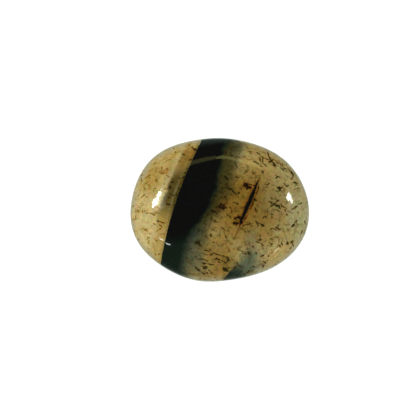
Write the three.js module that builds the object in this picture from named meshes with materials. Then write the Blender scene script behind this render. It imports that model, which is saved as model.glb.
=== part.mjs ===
// A tumbled and polished agate pebble: one solid piece of banded moss chalcedony.
// Units are millimetres and +Z is up. The stone lies on its broad back, on a small flat spot at z = 0.
// The origin is the middle of the stone's footprint, on the surface that it rests on.
// +X runs along the stone's length and +Y across its width.
import * as THREE from "three";
import { mergeVertices } from "three/addons/utils/BufferGeometryUtils.js";

// The outline seen from above, as the distance from the middle of the stone to its edge,
// every 20 degrees, anticlockwise from +X.
const OUTLINE_RADII = [
  15.05, 14.5, 13.65, 12.6, 12.1, 12.15, 12.95, 14.1, 14.7,
  14.95, 14.85, 13.75, 12.9, 12.25, 11.95, 12.5, 13.7, 14.8,
];
// Tumbling has rounded away any lobe of the outline finer than this many to the turn.
const FINEST_LOBE = 7;

// Heights above the resting surface.
const STONE_HEIGHT = 14.6;
const GIRDLE_HEIGHT = 6.8;

// The flat spot reaches this share of the way from the middle to the outline.
const FLAT_SPOT_SHARE = 0.3;

// How full the rounded flanks are: 0.55 is an ellipse, and more is squarer.
const CROWN_FLATNESS = 0.64;
const CROWN_SHOULDER = 0.58;
const BELLY_FLATNESS = 0.56;
const BELLY_SHOULDER = 0.54;

// The widest line around the stone rises and falls twice in a turn.
const GIRDLE_WAVE = 0.45;
const GIRDLE_WAVE_TURN = THREE.MathUtils.degToRad(35);

// The crown is a little thicker towards +X and towards -Y.
const CROWN_LEAN_X = 0.35;
const CROWN_LEAN_Y = -0.25;

// Shallow swells that tumbling left in the crown: height, length from crest to crest, and heading.
const SWELLS = [
  { height: 0.07, length: 17, heading: THREE.MathUtils.degToRad(20), phase: 0.6 },
  { height: 0.05, length: 13, heading: THREE.MathUtils.degToRad(110), phase: 2.1 },
];

// How finely the solid is faceted.
const FACETS_AROUND = 90;
const FACETS_UP_BELLY = 13;
const FACETS_UP_CROWN = 17;

// Corners of the lathe that are closer together than this become one corner.
const MERGE_DISTANCE = 1e-5;

// Distance from the middle to the outline in a direction, as a smooth curve through OUTLINE_RADII.
function outlineRadius(angle) {
  const count = OUTLINE_RADII.length;
  let radius = 0;
  OUTLINE_RADII.forEach((sample, i) => {
    const offset = angle - (i * 2 * Math.PI) / count;
    let weight = 1;
    for (let lobe = 1; lobe <= FINEST_LOBE; lobe++) weight += 2 * Math.cos(lobe * offset);
    radius += (sample * weight) / count;
  });
  return radius;
}

// Half of the stone's cross-section: x is the share of the way out to the outline, y is the height.
function sectionPoints() {
  const belly = new THREE.CubicBezierCurve(
    new THREE.Vector2(FLAT_SPOT_SHARE, 0),
    new THREE.Vector2(FLAT_SPOT_SHARE + (1 - FLAT_SPOT_SHARE) * BELLY_FLATNESS, 0),
    new THREE.Vector2(1, GIRDLE_HEIGHT * (1 - BELLY_SHOULDER)),
    new THREE.Vector2(1, GIRDLE_HEIGHT),
  );
  const crown = new THREE.CubicBezierCurve(
    new THREE.Vector2(1, GIRDLE_HEIGHT),
    new THREE.Vector2(1, THREE.MathUtils.lerp(GIRDLE_HEIGHT, STONE_HEIGHT, CROWN_SHOULDER)),
    new THREE.Vector2(CROWN_FLATNESS, STONE_HEIGHT),
    new THREE.Vector2(0, STONE_HEIGHT),
  );
  const middleOfFlatSpot = new THREE.Vector2(0, 0);
  return [
    middleOfFlatSpot,
    ...belly.getPoints(FACETS_UP_BELLY),
    ...crown.getPoints(FACETS_UP_CROWN).slice(1),
  ];
}

// Height that the swells and the lean add at a place on the crown.
function crownRelief(x, y, share) {
  const lean = (CROWN_LEAN_X * x + CROWN_LEAN_Y * y) / OUTLINE_RADII[0];
  const swell = SWELLS.reduce((sum, { height, length, heading, phase }) => {
    const along = x * Math.cos(heading) + y * Math.sin(heading);
    return sum + height * Math.cos((2 * Math.PI * along) / length + phase);
  }, 0);
  return (lean + swell) * (1 - share * share);
}

// Turns a point of the round lathe, whose radius is 1, into a point of the stone.
function shapeStone(point) {
  const share = Math.hypot(point.x, point.y);
  const angle = Math.atan2(point.y, point.x);
  const onCrown = point.z > GIRDLE_HEIGHT;
  const reach = onCrown ? share : Math.max(0, (share - FLAT_SPOT_SHARE) / (1 - FLAT_SPOT_SHARE));
  const radius = outlineRadius(angle);
  point.x *= radius;
  point.y *= radius;
  point.z += GIRDLE_WAVE * Math.cos(2 * (angle - GIRDLE_WAVE_TURN)) * reach * reach;
  if (onCrown) point.z += crownRelief(point.x, point.y, share);
}

function makeStoneGeometry() {
  const round = new THREE.LatheGeometry(sectionPoints(), FACETS_AROUND);
  round.rotateX(Math.PI / 2);
  round.deleteAttribute("normal");
  round.deleteAttribute("uv");
  const geometry = mergeVertices(round, MERGE_DISTANCE);
  const position = geometry.getAttribute("position");
  const point = new THREE.Vector3();
  for (let i = 0; i < position.count; i++) {
    point.fromBufferAttribute(position, i);
    shapeStone(point);
    position.setXYZ(i, point.x, point.y, point.z);
  }
  geometry.computeBoundingBox();
  const middle = geometry.boundingBox.getCenter(new THREE.Vector3());
  geometry.translate(-middle.x, -middle.y, 0);
  geometry.computeVertexNormals();
  return geometry;
}

function makeStone() {
  const polishedAgate = new THREE.MeshStandardMaterial({
    color: 0x8f7a48,
    roughness: 0.08,
    metalness: 0,
  });
  const stone = new THREE.Mesh(makeStoneGeometry(), polishedAgate);
  stone.name = "agate_stone";
  return stone;
}

const pebble = new THREE.Group();
pebble.add(makeStone());

export default pebble;
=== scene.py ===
"""A tumbled and polished agate pebble on a plain pale floor, seen from straight above."""

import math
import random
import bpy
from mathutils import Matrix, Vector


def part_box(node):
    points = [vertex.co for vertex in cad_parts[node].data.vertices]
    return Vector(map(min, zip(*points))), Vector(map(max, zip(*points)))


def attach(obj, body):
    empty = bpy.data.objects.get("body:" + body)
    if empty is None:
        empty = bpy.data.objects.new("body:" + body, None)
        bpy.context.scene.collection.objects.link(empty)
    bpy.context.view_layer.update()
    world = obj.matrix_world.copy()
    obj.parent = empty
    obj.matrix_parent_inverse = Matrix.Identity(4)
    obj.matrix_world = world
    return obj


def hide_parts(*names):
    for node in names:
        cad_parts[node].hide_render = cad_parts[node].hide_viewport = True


bl_info = {
    "name": "Polished agate pebble",
    "version": (1, 0, 0),
    "blender": (4, 5, 0),
    "location": "3D View > Sidebar > Agate",
    "description": "Makes a tumbled and polished agate pebble, with a floor, lights and a camera",
    "category": "Add Mesh",
}

from collections import namedtuple

import bmesh
import bpy
from bpy.props import FloatProperty, FloatVectorProperty, IntProperty, PointerProperty
from bpy.types import Operator, Panel, PropertyGroup
from mathutils import Matrix, Vector
from mathutils.bvhtree import BVHTree

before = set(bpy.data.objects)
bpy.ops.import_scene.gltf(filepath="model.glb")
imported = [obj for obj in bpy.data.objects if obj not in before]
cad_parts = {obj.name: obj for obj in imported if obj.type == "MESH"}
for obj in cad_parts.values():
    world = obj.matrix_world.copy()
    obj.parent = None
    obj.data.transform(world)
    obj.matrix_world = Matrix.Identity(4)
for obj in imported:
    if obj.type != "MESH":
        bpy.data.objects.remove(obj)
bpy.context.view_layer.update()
STONE_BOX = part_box("agate_stone")

MM = 0.001

# Form of the stone, in millimetres, as in the part's source.
# The outline seen from above is the distance from the middle to the edge every 20 degrees, from +X.
OUTLINE_RADII = (
    15.05, 14.5, 13.65, 12.6, 12.1, 12.15, 12.95, 14.1, 14.7,
    14.95, 14.85, 13.75, 12.9, 12.25, 11.95, 12.5, 13.7, 14.8,
)
FINEST_LOBE = 7
STONE_HEIGHT = 14.6
GIRDLE_HEIGHT = 6.8
FLAT_SPOT_SHARE = 0.3
CROWN_FLATNESS = 0.64
CROWN_SHOULDER = 0.58
BELLY_FLATNESS = 0.56
BELLY_SHOULDER = 0.54
GIRDLE_WAVE = 0.45
GIRDLE_WAVE_TURN = math.radians(35)
CROWN_LEAN_X = 0.35
CROWN_LEAN_Y = -0.25

Swell = namedtuple("Swell", "height length heading phase")
SWELLS = (
    Swell(0.07, 17, math.radians(20), 0.6),
    Swell(0.05, 13, math.radians(110), 2.1),
)

# Share of the lower half's turn, from straight down, that the flat spot takes up.
FLAT_SPOT_TURN = 0.2

# The black band's left edge, seen from above: x = middle + lean * y + bow * y * y, in millimetres.
EDGE_MIDDLE = -7.78
EDGE_LEAN = 0.31
EDGE_BOW = 0.0081
# The layers slant under the girdle: sideways shift for each millimetre down.
LAYER_SLANT = 0.35
# Width of the black band at its lower and upper end, and how fast it narrows again near the top.
BAND_LOW_WIDTH = 2.75
BAND_HIGH_WIDTH = 5.9
BAND_LOW_Y = -7.6
BAND_HIGH_Y = 2.2
BAND_NARROWING = 0.2
BAND_NARROWING_Y = 3.0

# A ramp gives where a soft change starts and ends and then, unless they are 0 and 1, its values there.
# The places are in millimetres, apart from the ramps on random patterns, which run from 0 to 1.

# Ramps on the distance to the right of the band's left edge.
BAND_START = (-0.05, 0.06)
BODY_START = (-0.05, 0.05)
PALE_SIDE_END = (0.05, -0.1)
GOLD_START = (-2.6, -1.2)
WEDGE_START = (-2.75, -1.9)
EDGE_SHADE_START = (-0.7, -0.15)

# Ramps on the distance to the right of the band's soft side.
BLACK_END = (0.35, -0.45)
GREEN_END = (1.5, -0.2)
TEAL_END = (2.0, 0.4)
MOSS_START = (-0.2, 0.7)
BAND_RIM_END = (3.0, 0.8)
PATCH_RIM_END = (14.0, 11.0)
# The shade beside the band is full up to its heart and then thins out as far as its reach, which is
# greater in the lower half.
SHADE_HEART = 1.0
SHADE_REACH = 3.8
LOWER_SHADE_EXTRA = 0.7

# Ramps on y, the place across the stone's width.
LOWER_HALF = (-1.0, -5.0)
GREEN_LOWER_END = (-3.7, -6.2)
WEDGE_FOOT = (-3.0, 2.0)
WEDGE_TOP = (8.8, 5.0)
EDGE_SHADE_STRENGTH = (-5.0, 1.0, 0.35, 0.65)

# Ramps on the height above the girdle: the painted rim glow, light through the thin edge, made uneven by
# random mist.
RIM_GLOW_TOP = (3.3, 0.8)
RIM_GLOW_FOOT = (-1.2, 1.0)
RIM_GLOW_UNEVENNESS = 1.2

# Thin grey lines in the pale layers: distance to the right of the band's left edge, ramp from the
# line's border to its heart, ramps on y at its foot and its top, and strength.
ThinLine = namedtuple("ThinLine", "distance border foot top strength")
THIN_LINES_UNDER_WEDGE = (ThinLine(-2.85, (0.42, 0.1), (1.0, 3.5), (9.5, 7.5), 0.5),)
THIN_LINES_OVER_WEDGE = (ThinLine(-0.7, (0.35, 0.05), (-1.0, 2.0), (6.5, 4.5), 0.25),)
# Fine stripes along the pale layers: turn of their wave in radians for each millimetre, and strength.
STRIPE_TURN = 5.2
STRIPE_STRENGTH = 0.15

# How strongly each layer of colour covers what is under it.
MIST_STRENGTH = 0.45
SHADE_STRENGTH = 0.92
TEAL_STRENGTH = 0.8
# Painted light: how strongly the rim glow covers the colour under it.
RIM_GLOW_STRENGTH = 0.85
GOLD_STRENGTH = 0.7
WEDGE_STRENGTH = 0.93

# A grain is a soft random pattern: size of its features in millimetres, fineness of detail and seed.
Grain = namedtuple("Grain", "size detail seed")
SEED_STEP = (7.3, 3.1, 5.7)
SLOW_WARP = Grain(3.2, 2.0, 1.0)
QUICK_WARP = Grain(0.7, 2.0, 2.0)
MIST = Grain(2.4, 4.0, 3.0)
MOTTLE = Grain(0.5, 5.0, 4.0)
HUES = Grain(0.9, 3.0, 14.0)
WEDGE_BORDER = Grain(1.3, 3.0, 12.0)
FRAY = Grain(0.3, 3.0, 21.0)
CROWDS = Grain(2.6, 2.0, 9.0)
RUST = Grain(1.3, 2.0, 6.0)
WEAR = Grain(0.9, 2.0, 17.0)
RIPPLE = Grain(2.2, 3.0, 8.0)

# How far the grains shift the clouds, the sharp edges, the wedge's border and the filaments.
SLOW_DRIFT = 1.4
QUICK_DRIFT = 0.8
WAVER = 0.2
WEDGE_UNEVENNESS = 1.3
FRAYING = 0.3

# Ramps on the grains.
MIST_LEVELS = (0.42, 0.68)
MOTTLE_LEVELS = (0.3, 0.7)
CROWD_LEVELS = (0.35, 0.6, 0.36, 0.88)
RUST_LEVELS = (0.45, 0.6)
WEAR_LEVELS = (0.3, 0.55, 0.75, 0.97)

# Fine variation that the colour is multiplied by.
MOTTLE_DARK = (0.88, 0.88, 0.86, 1.0)
MOTTLE_LIGHT = (1.09, 1.08, 1.06, 1.0)
HUE_SPREAD = 0.5

# The polish: how strongly agate bends light, and the faint ripple that tumbling leaves.
REFRACTIVE_INDEX = 1.54
RIPPLE_STRENGTH = 0.18
RIPPLE_HEIGHT = 0.1


def colour_property(name, description, default):
    """A colour that a user can change."""
    return FloatVectorProperty(
        name=name, description=description, default=default, subtype="COLOR", min=0.0, max=1.0
    )


class AgateStoneSettings(PropertyGroup):
    """What a user would change on the stone."""

    facet_steps: IntProperty(
        name="Fineness",
        description="Times that the ball that the stone is shaped from is subdivided",
        default=7,
        min=4,
        max=7,
    )
    polish: FloatProperty(
        name="Roughness",
        description="Roughness of the polished surface",
        default=0.06,
        min=0.0,
        max=1.0,
        subtype="FACTOR",
    )
    milky_tan: colour_property(
        "Milky tan", "Colour of the pale layers beside the band", (0.61, 0.485, 0.205)
    )
    gold: colour_property(
        "Gold", "Colour of the iron-stained patches in the pale layers", (0.41, 0.275, 0.056)
    )
    orange: colour_property(
        "Orange", "Colour of the small rusty glows in the pale layers", (0.33, 0.155, 0.02)
    )
    body_tan: colour_property(
        "Body tan", "Colour of the broad layer that holds most of the moss", (0.345, 0.238, 0.066)
    )
    amber: colour_property(
        "Amber", "Colour of the warm glow in the middle of the stone", (0.222, 0.125, 0.0155)
    )
    umber: colour_property(
        "Umber", "Colour of the dark brown layer beside the band", (0.062, 0.045, 0.0055)
    )
    grey_green: colour_property("Grey green", "Colour of the misty patches", (0.35, 0.322, 0.15))
    smoke: colour_property(
        "Smoke", "Colour of the blue-grey clouds in the lower half", (0.096, 0.118, 0.07)
    )
    slate: colour_property(
        "Slate", "Colour of the wide shade beside the band's thin lower end", (0.042, 0.059, 0.036)
    )
    olive: colour_property(
        "Olive", "Colour of the wide shade on the band's soft side", (0.047, 0.041, 0.0075)
    )
    bottle_green: colour_property(
        "Bottle green", "Colour of the band's soft edge and of its thin lower end", (0.006, 0.0125, 0.0068)
    )
    # Teal is the stone's own colour beside the band's thin lower end and in the dark patch; at the thin rim
    # over dark layers it is painted light coming through them.
    teal: colour_property(
        "Teal", "Colour of the dark minerals at the stone's thin rim", (0.022, 0.036, 0.024)
    )
    # Painted light: the rim is made lighter and greyer in this colour, for the light that comes through the
    # thin edge.
    mist: colour_property(
        "Mist", "Colour of the thin rim, where light comes through the stone", (0.42, 0.40, 0.26)
    )
    band_black: colour_property("Band black", "Colour of the heart of the band", (0.0035, 0.0035, 0.0033))
    moss_dark: colour_property(
        "Dark moss", "Colour of the moss filaments just under the surface", (0.019, 0.015, 0.0028)
    )
    moss_stain: colour_property(
        "Moss stain", "Tint of the olive stain round the dark moss", (0.52, 0.47, 0.25)
    )
    ochre: colour_property("Ochre", "Colour of the golden moss in the pale layers", (0.17, 0.1, 0.015))
    ochre_stain: colour_property(
        "Ochre stain", "Tint of the stain round the golden moss", (0.84, 0.7, 0.34)
    )
    rust_dark: colour_property(
        "Dark rust", "Colour of the iron-stained moss filaments", (0.013, 0.0055, 0.002)
    )
    rust_stain: colour_property(
        "Rust stain", "Tint of the orange stain round the iron-stained moss", (0.78, 0.5, 0.2)
    )
    rust_glow: colour_property(
        "Rust glow", "Colour of the iron-stained cloud and of the needle's thin tips", (0.13, 0.062, 0.010)
    )


class AgateStageSettings(PropertyGroup):
    """What a user would change on the floor, the lights and the camera."""

    floor_radius: FloatProperty(
        name="Floor radius",
        description="Radius of the round floor",
        default=1.5,
        min=0.1,
        unit="LENGTH",
    )
    floor_colour: colour_property("Floor colour", "Colour of the plain floor", (0.85, 0.85, 0.85))
    floor_glow: FloatProperty(
        name="Floor glow",
        description="Light that the pale floor gives off, as a light table does",
        default=0.6,
        min=0.0,
    )
    daylight: FloatProperty(
        name="Daylight",
        description="Strength of the soft light from all round",
        default=1.0,
        min=0.0,
    )
    camera_height: FloatProperty(
        name="Camera height",
        description="Height of the camera above the stone's widest line",
        default=1.0,
        min=0.1,
        unit="LENGTH",
    )


# A cloud is a soft patch of one colour inside the stone: centre and half sizes in millimetres, seen
# from above, its turn in degrees and its strength.
Cloud = namedtuple("Cloud", "colour x y half_length half_width turn strength")
# A cloud's fading, as a ramp on the distance from its middle in half sizes.
CLOUD_FADING = (1.35, 0.35)

BODY_CLOUDS = (
    Cloud("grey_green", 13.0, -0.6, 2.2, 5.0, 0, 0.9),
    Cloud("grey_green", 10.4, 4.4, 2.2, 3.4, 0, 0.35),
    Cloud("milky_tan", 9.6, -7.0, 2.8, 1.7, 30, 0.3),
    Cloud("milky_tan", 6.4, 8.2, 3.0, 1.3, -25, 0.12),
    Cloud("grey_green", 6.0, -7.6, 2.6, 1.8, 20, 0.5),
    Cloud("amber", 3.4, 1.0, 6.2, 4.4, 70, 0.95),
    Cloud("amber", 6.6, -2.6, 3.2, 3.0, 0, 0.45),
    Cloud("amber", -0.6, -8.4, 3.0, 3.6, 0, 0.65),
    Cloud("umber", 1.2, 3.0, 2.2, 1.4, 0, 0.5),
    Cloud("umber", -0.9, 0.6, 1.3, 1.8, -20, 0.55),
    Cloud("rust_glow", 0.2, 0.9, 2.2, 1.4, 75, 0.6),
    Cloud("umber", 8.2, 1.2, 3.2, 4.0, 0, 0.27),
    Cloud("smoke", 2.2, 8.2, 2.0, 1.5, 75, 0.45),
    Cloud("olive", 1.2, 7.2, 2.4, 1.5, 75, 0.7),
    Cloud("olive", 1.7, 5.0, 1.8, 1.3, 80, 0.5),
    Cloud("smoke", 2.4, 10.5, 2.2, 1.4, 0, 0.7),
    Cloud("slate", 1.4, 10.7, 2.0, 1.3, 0, 0.85),
    Cloud("smoke", 5.2, -4.9, 2.0, 1.4, 60, 0.35),
    Cloud("smoke", -4.0, -8.6, 3.0, 1.4, 105, 0.6),
    Cloud("olive", -3.1, -4.6, 2.8, 1.6, 80, 0.75),
    Cloud("olive", 1.3, -8.9, 1.5, 1.2, 0, 0.35),
)
# The dark patch on the lower rim ends on its left along a line, given by a point and a heading. The
# line is sharp at its lower end and softer farther up, as a ramp on y.
PATCH_START = (0.85, -11.2)
PATCH_HEADING = (0.6, 0.8)
PATCH_EDGE = (-0.6, 1.0)
PATCH_SOFTNESS = (-10.6, -7.8, 0.25, 1.5)
PATCH_CLOUDS = (
    Cloud("smoke", 4.2, -8.8, 3.2, 1.9, 55, 0.95),
    Cloud("smoke", 5.6, -9.9, 2.6, 1.0, 18, 0.5),
    Cloud("smoke", 6.0, -8.9, 2.2, 1.4, 20, 0.35),
    Cloud("teal", 2.4, -10.7, 2.0, 1.2, 20, 1.0),
    Cloud("bottle_green", 1.2, -11.0, 1.3, 0.8, 30, 0.9),
)

PALE_SIDE_CLOUDS = (
    Cloud("gold", -11.2, 5.4, 3.4, 2.2, 65, 0.85),
    Cloud("gold", -8.0, 9.4, 2.8, 1.2, 35, 0.7),
    Cloud("gold", -8.2, 7.2, 1.8, 1.0, 65, 0.75),
    Cloud("amber", -9.2, 6.5, 1.0, 0.5, 15, 0.4),
    Cloud("amber", -5.8, 8.6, 2.4, 1.0, 68, 0.85),
    Cloud("amber", -4.7, 9.2, 1.3, 0.4, 70, 0.75),
    Cloud("gold", -9.7, -1.8, 2.2, 1.1, 72, 0.85),
    Cloud("gold", -12.5, -3.3, 0.7, 0.3, -15, 0.6),
    Cloud("gold", -13.6, 0.2, 0.6, 0.9, 0, 0.3),
    Cloud("orange", -4.5, 9.5, 1.0, 0.35, 72, 0.75),
    Cloud("orange", -5.2, 10.9, 0.5, 0.3, 0, 0.5),
    Cloud("orange", -9.6, 6.3, 0.9, 0.3, 5, 0.5),
    Cloud("orange", -8.7, 6.8, 0.35, 0.4, 0, 0.45),
    Cloud("grey_green", -12.4, -7.2, 1.6, 0.8, -40, 0.8),
)

# Moss filaments that stand out from above: where each starts and ends, in millimetres.
DARK_STROKES = (
    (0.8, 5.6, 1.5, 4.9), (5.5, 1.8, 6.2, 1.4), (5.9, -1.7, 6.4, -2.7), (6.1, -1.9, 7.5, -2.8),
    (-1.5, -3.9, -1.5, -4.6), (-3.9, -5.3, -3.1, -5.9), (-3.8, -3.7, -3.2, -3.2), (2.4, 8.0, 3.0, 7.1),
    (0.1, 8.5, 1.6, 8.5), (7.1, -1.5, 7.5, -1.0), (7.5, -1.0, 7.8, -1.4), (-4.4, -5.3, -3.6, -5.7),
    (-4.2, -5.8, -3.3, -5.2), (-3.7, -5.9, -2.9, -6.1), (0.9, -4.2, 1.0, -4.7),
    (-2.6, -6.7, -1.8, -7.0), (-1.8, -7.0, -1.4, -6.5), (-1.7, -7.6, -1.1, -7.3),
    (0.3, -7.6, 0.9, -7.9), (-0.8, -8.3, -0.5, -8.05), (-0.6, -8.1, 0.1, -8.4), (0.1, -8.45, 0.7, -8.6),
    (0.6, -8.5, 1.0, -9.0), (1.0, -9.0, 1.3, -8.5), (-3.9, -8.2, -2.4, -8.3), (-2.5, -8.3, -1.9, -8.6),
    (-2.1, -9.0, -0.9, -9.2), (-2.8, -9.4, -2.4, -9.85), (-2.9, -9.7, -2.2, -9.85),
    (-4.2, -9.5, -3.5, -10.0), (-3.7, -10.2, -3.3, -10.0), (-2.0, -9.9, -1.4, -10.8),
    (-3.0, -10.5, -2.4, -10.9), (1.3, -9.7, 1.9, -9.65), (-0.4, -8.7, 0.2, -8.9),
    (6.1, 9.65, 6.9, 9.05), (6.9, 9.0, 7.3, 8.5), (7.1, 8.7, 7.7, 8.6), (7.1, 8.6, 7.2, 7.7),
    (7.2, 7.8, 7.8, 7.2), (7.9, 9.7, 8.2, 9.0), (7.7, 8.5, 8.3, 8.3), (8.9, 8.6, 8.8, 8.1),
    (5.4, 8.15, 6.6, 7.5), (7.0, 6.6, 7.3, 6.1), (10.1, 7.2, 10.7, 6.5), (10.5, 7.0, 11.2, 6.8),
    (11.3, 7.0, 12.0, 6.3), (12.2, 5.6, 11.8, 5.1), (9.2, 5.9, 10.3, 5.4), (9.6, 5.6, 9.3, 5.2),
    (7.4, 4.3, 8.2, 4.3), (8.0, 4.3, 8.3, 4.5), (12.2, 4.5, 12.7, 4.7), (12.8, 4.4, 13.1, 4.0),
    (10.7, 4.6, 11.1, 3.9), (11.0, 3.9, 11.5, 4.1), (9.5, 3.9, 10.0, 3.5), (10.0, 3.6, 10.6, 3.8),
    (12.3, 3.3, 12.8, 3.6), (12.8, 3.6, 13.4, 3.6), (-4.8, 10.5, -4.3, 10.55), (-6.3, 9.35, -5.8, 9.15),
    (-6.0, 6.3, -5.5, 6.05), (-8.2, 4.6, -7.6, 4.6), (-7.0, 3.7, -6.7, 3.5), (-8.4, 2.8, -8.0, 2.4),
    (-7.9, 2.6, -7.6, 2.2), (-9.0, 0.95, -8.1, 0.9), (-7.8, 0.9, -7.6, 0.6), (-5.7, 7.0, -5.4, 6.8),
    (-7.4, 2.7, -7.0, 2.4), (8.1, 1.3, 8.8, 1.2), (8.8, 1.0, 9.4, 1.0), (8.4, 2.1, 8.8, 1.7),
    (10.2, 1.1, 10.3, 0.5), (9.3, 0.1, 10.1, -0.35), (12.5, -2.3, 13.0, -1.7), (8.3, -3.4, 8.9, -3.1),
    (8.9, -3.1, 9.5, -3.4), (7.9, -3.9, 8.1, -3.9), (14.1, -1.7, 14.4, -2.5), (13.7, -3.9, 13.9, -3.3),
    (11.2, -5.5, 11.4, -5.2), (12.0, -5.5, 12.4, -6.2), (11.7, -6.5, 12.0, -6.3),
    (10.2, -5.3, 10.5, -6.0), (9.8, -5.7, 10.2, -6.3), (8.5, -0.8, 8.9, -0.8), (8.3, -4.9, 8.6, -4.7),
    (13.0, 0.9, 13.8, 1.0), (13.5, 1.3, 13.7, 1.0), (6.5, -5.15, 7.0, -4.85), (6.9, -4.2, 6.6, -4.5),
    (5.9, -5.3, 6.8, -5.55), (6.8, -5.5, 7.4, -6.1), (5.3, -6.0, 5.8, -6.35), (3.7, -7.3, 4.6, -7.35),
    (4.4, -7.0, 5.0, -7.0), (5.9, -6.95, 6.15, -7.4), (2.7, -8.6, 3.0, -9.3), (2.4, -9.7, 2.7, -9.4),
    (5.4, -9.4, 5.9, -9.6), (5.1, -9.6, 5.4, -9.8), (4.4, -10.7, 5.2, -9.9), (5.2, -10.3, 5.6, -10.0),
    (3.9, -10.6, 4.4, -10.9), (1.0, 4.6, 1.4, 3.8), (0.7, 3.7, 1.5, 3.4), (2.0, 1.3, 2.6, 1.1),
    (1.1, -0.7, 1.6, -1.1), (1.6, -1.1, 1.9, -1.4), (-0.6, 4.6, -0.1, 5.0), (0.0, 4.7, 0.5, 4.2),
    (-1.2, 2.9, -0.5, 2.3), (-2.2, 1.3, -1.5, 2.2), (-1.2, 1.7, -0.9, 1.9), (-1.6, 0.0, -1.0, -0.5),
    (3.7, -2.7, 4.0, -2.5),
)
BROWN_STROKES = (
    (4.7, 4.3, 5.5, 4.1), (5.5, 4.15, 6.0, 3.9), (6.55, 4.4, 5.9, 2.3), (5.9, 2.3, 5.4, 1.0),
    (5.65, 1.2, 5.05, 0.2), (5.9, 0.4, 6.1, -0.5), (-1.3, -5.5, -0.9, -5.4), (5.5, 3.3, 5.9, 2.7),
    (-1.1, -7.15, 0.3, -7.6), (-2.3, -10.4, -1.9, -10.8), (6.6, 7.5, 7.1, 7.1), (6.7, 8.9, 6.9, 7.9),
    (9.5, 8.1, 9.9, 7.7), (10.0, 7.9, 10.3, 7.2), (10.4, 7.8, 10.6, 7.1), (-5.2, 8.3, -4.7, 8.4),
    (-4.8, 7.9, -4.6, 8.1), (9.3, 1.2, 9.9, 1.7), (10.3, 0.6, 11.2, 0.2), (10.8, 0.1, 11.0, -0.3),
    (11.0, -0.7, 11.4, -0.9), (9.3, -2.8, 10.2, -3.4), (8.1, -5.4, 8.9, -5.7), (8.9, -5.6, 8.5, -6.0),
    (9.5, -4.4, 9.9, -4.9), (8.6, -1.1, 8.8, -1.4), (12.0, 0.0, 13.0, 0.8), (13.1, -0.2, 13.1, -0.7),
    (6.7, -7.8, 7.5, -7.5), (8.0, -7.8, 8.3, -7.7), (7.2, -8.6, 7.8, -9.0), (7.2, -9.2, 7.25, -9.8),
    (7.25, -9.6, 7.4, -9.2), (7.8, -8.4, 8.1, -8.6), (2.3, 2.9, 2.8, 2.6), (0.6, 2.15, 1.1, 2.0),
    (2.6, 1.1, 3.2, 0.85), (1.6, 0.6, 1.9, 0.1), (1.95, 0.0, 2.0, -0.7), (0.1, -2.7, 0.9, -3.5),
    (-1.5, 0.0, -0.6, -0.5), (-0.8, -0.4, -0.4, -0.8), (-0.7, 0.3, -0.2, 0.7), (0.6, 0.4, 1.3, 0.3),
    (4.0, -2.0, 4.7, -0.9), (4.2, -2.5, 5.1, -2.3), (-10.1, -1.9, -9.3, -2.2),
    (-10.1, -2.4, -9.6, -2.9), (-10.3, -7.6, -10.1, -7.3), (-9.4, -3.9, -9.2, -4.1),
)
OCHRE_STROKES = (
    (-5.3, 11.1, -5.0, 10.6), (-7.8, 10.2, -7.6, 10.35), (-7.6, 9.7, -7.3, 9.6),
    (-8.6, 8.4, -8.1, 8.45), (-6.9, 8.1, -6.5, 8.15), (-9.0, 7.0, -8.6, 6.7), (-9.0, 5.9, -8.5, 5.5),
    (2.2, -6.4, 2.6, -6.7), (3.9, -4.6, 4.1, -4.9), (-12.6, 5.3, -12.0, 5.5), (-11.9, 5.2, -11.7, 5.5),
    (-11.1, 7.5, -10.7, 8.1), (-10.0, 6.2, -9.2, 6.1), (-9.7, 7.3, -9.8, 6.6), (-10.9, 6.6, -10.5, 6.3),
    (-10.8, 4.7, -10.4, 5.2), (-12.8, 3.9, -12.5, 3.3), (-12.9, 2.2, -12.6, 2.6),
    (-13.2, 1.9, -12.9, 2.3), (-12.4, 2.1, -12.0, 2.1), (-12.1, 4.1, -11.6, 4.1),
    (-13.1, 5.4, -13.2, 4.6), (-13.3, 5.6, -12.9, 6.1), (-12.0, 6.5, -11.6, 6.6),
    (-13.4, 1.1, -13.2, 1.0), (-14.7, 0.4, -14.4, 0.8), (-13.9, 0.0, -13.6, -0.3),
    (-14.2, -0.8, -14.0, -1.5), (-14.0, -1.5, -14.5, -1.7), (-12.4, -0.6, -12.0, -0.6),
    (-13.0, 0.0, -13.0, -0.5), (-10.8, -3.7, -10.2, -3.4), (-10.2, -3.4, -9.7, -3.0),
    (-13.1, -3.0, -12.1, -3.3), (-12.7, -3.5, -12.3, -3.2), (-12.4, -3.3, -12.1, -3.7),
    (-11.2, -2.2, -10.8, -2.5), (-11.9, -3.9, -11.4, -4.1), (-12.2, -4.6, -11.7, -4.7),
    (-11.9, -5.5, -11.7, -5.1), (-12.1, -5.6, -11.9, -5.4), (-10.9, -7.3, -10.6, -7.7),
    (-13.7, -4.8, -13.5, -5.1), (-10.7, -5.0, -10.5, -5.4), (-12.1, 5.4, -11.6, 5.95),
    (-11.9, 5.6, -11.7, 5.95), (-11.0, 3.5, -10.6, 3.6), (-11.2, 3.0, -11.0, 3.4),
    (-11.9, -0.5, -10.7, -0.95), (-11.3, -0.65, -10.8, -0.95),
)
# Thick knots of brown moss: the two rosettes beside the needle and the one near the band.
KNOT_STROKES = (
    (3.9, 4.0, 4.4, 4.4), (4.3, 4.4, 4.7, 4.1), (4.1, 3.9, 4.8, 3.85), (4.45, 3.4, 4.7, 3.8),
    (4.75, 3.6, 5.25, 3.8), (2.35, -1.55, 2.75, -1.25), (2.7, -1.3, 3.2, -1.05),
    (3.1, -1.05, 3.4, -1.7), (3.3, -1.6, 3.7, -2.0), (3.7, -1.9, 3.25, -2.4), (2.2, -2.25, 3.1, -2.2),
    (-0.3, 0.65, 0.3, 0.5), (0.0, 1.1, 0.4, 0.8), (0.5, 0.3, 0.7, 1.05), (0.2, 0.3, 0.9, 0.2),
    (3.3, -1.2, 3.75, -1.5), (3.2, -1.9, 3.9, -2.1), (2.1, -2.15, 2.6, -2.25),
)
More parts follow.
